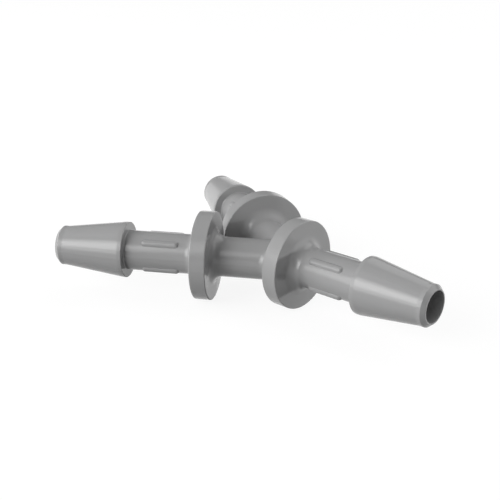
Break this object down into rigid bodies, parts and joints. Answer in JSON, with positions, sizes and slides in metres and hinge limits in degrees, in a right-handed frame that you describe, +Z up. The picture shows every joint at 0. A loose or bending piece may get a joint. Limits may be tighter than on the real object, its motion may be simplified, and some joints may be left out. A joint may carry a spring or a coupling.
{
  "type": "tubing y connector",
  "caption": "Barbed Y connector that splits one flexible tube into two, with a flange to stop each tube and a round bore through every arm.",
  "frame": {"origin": "on the surface that the part lies on, under the middle of its footprint; the axes of the three arms meet 3.78 mm from it along +X and 6.2 mm up", "axes": "+X along the stem, out of its mouth; the branches run back at 30 degrees either side of -X; +Z up, square to the plane of the three arms"},
  "size_m": [0.0526, 0.0378, 0.0124],
  "materials": {
    "grey_plastic": "smooth moulded grey plastic, semi-gloss"
  },
  "bodies": {
    "root": {"y_connector": "grey_plastic"}
  },
  "joints": []
}
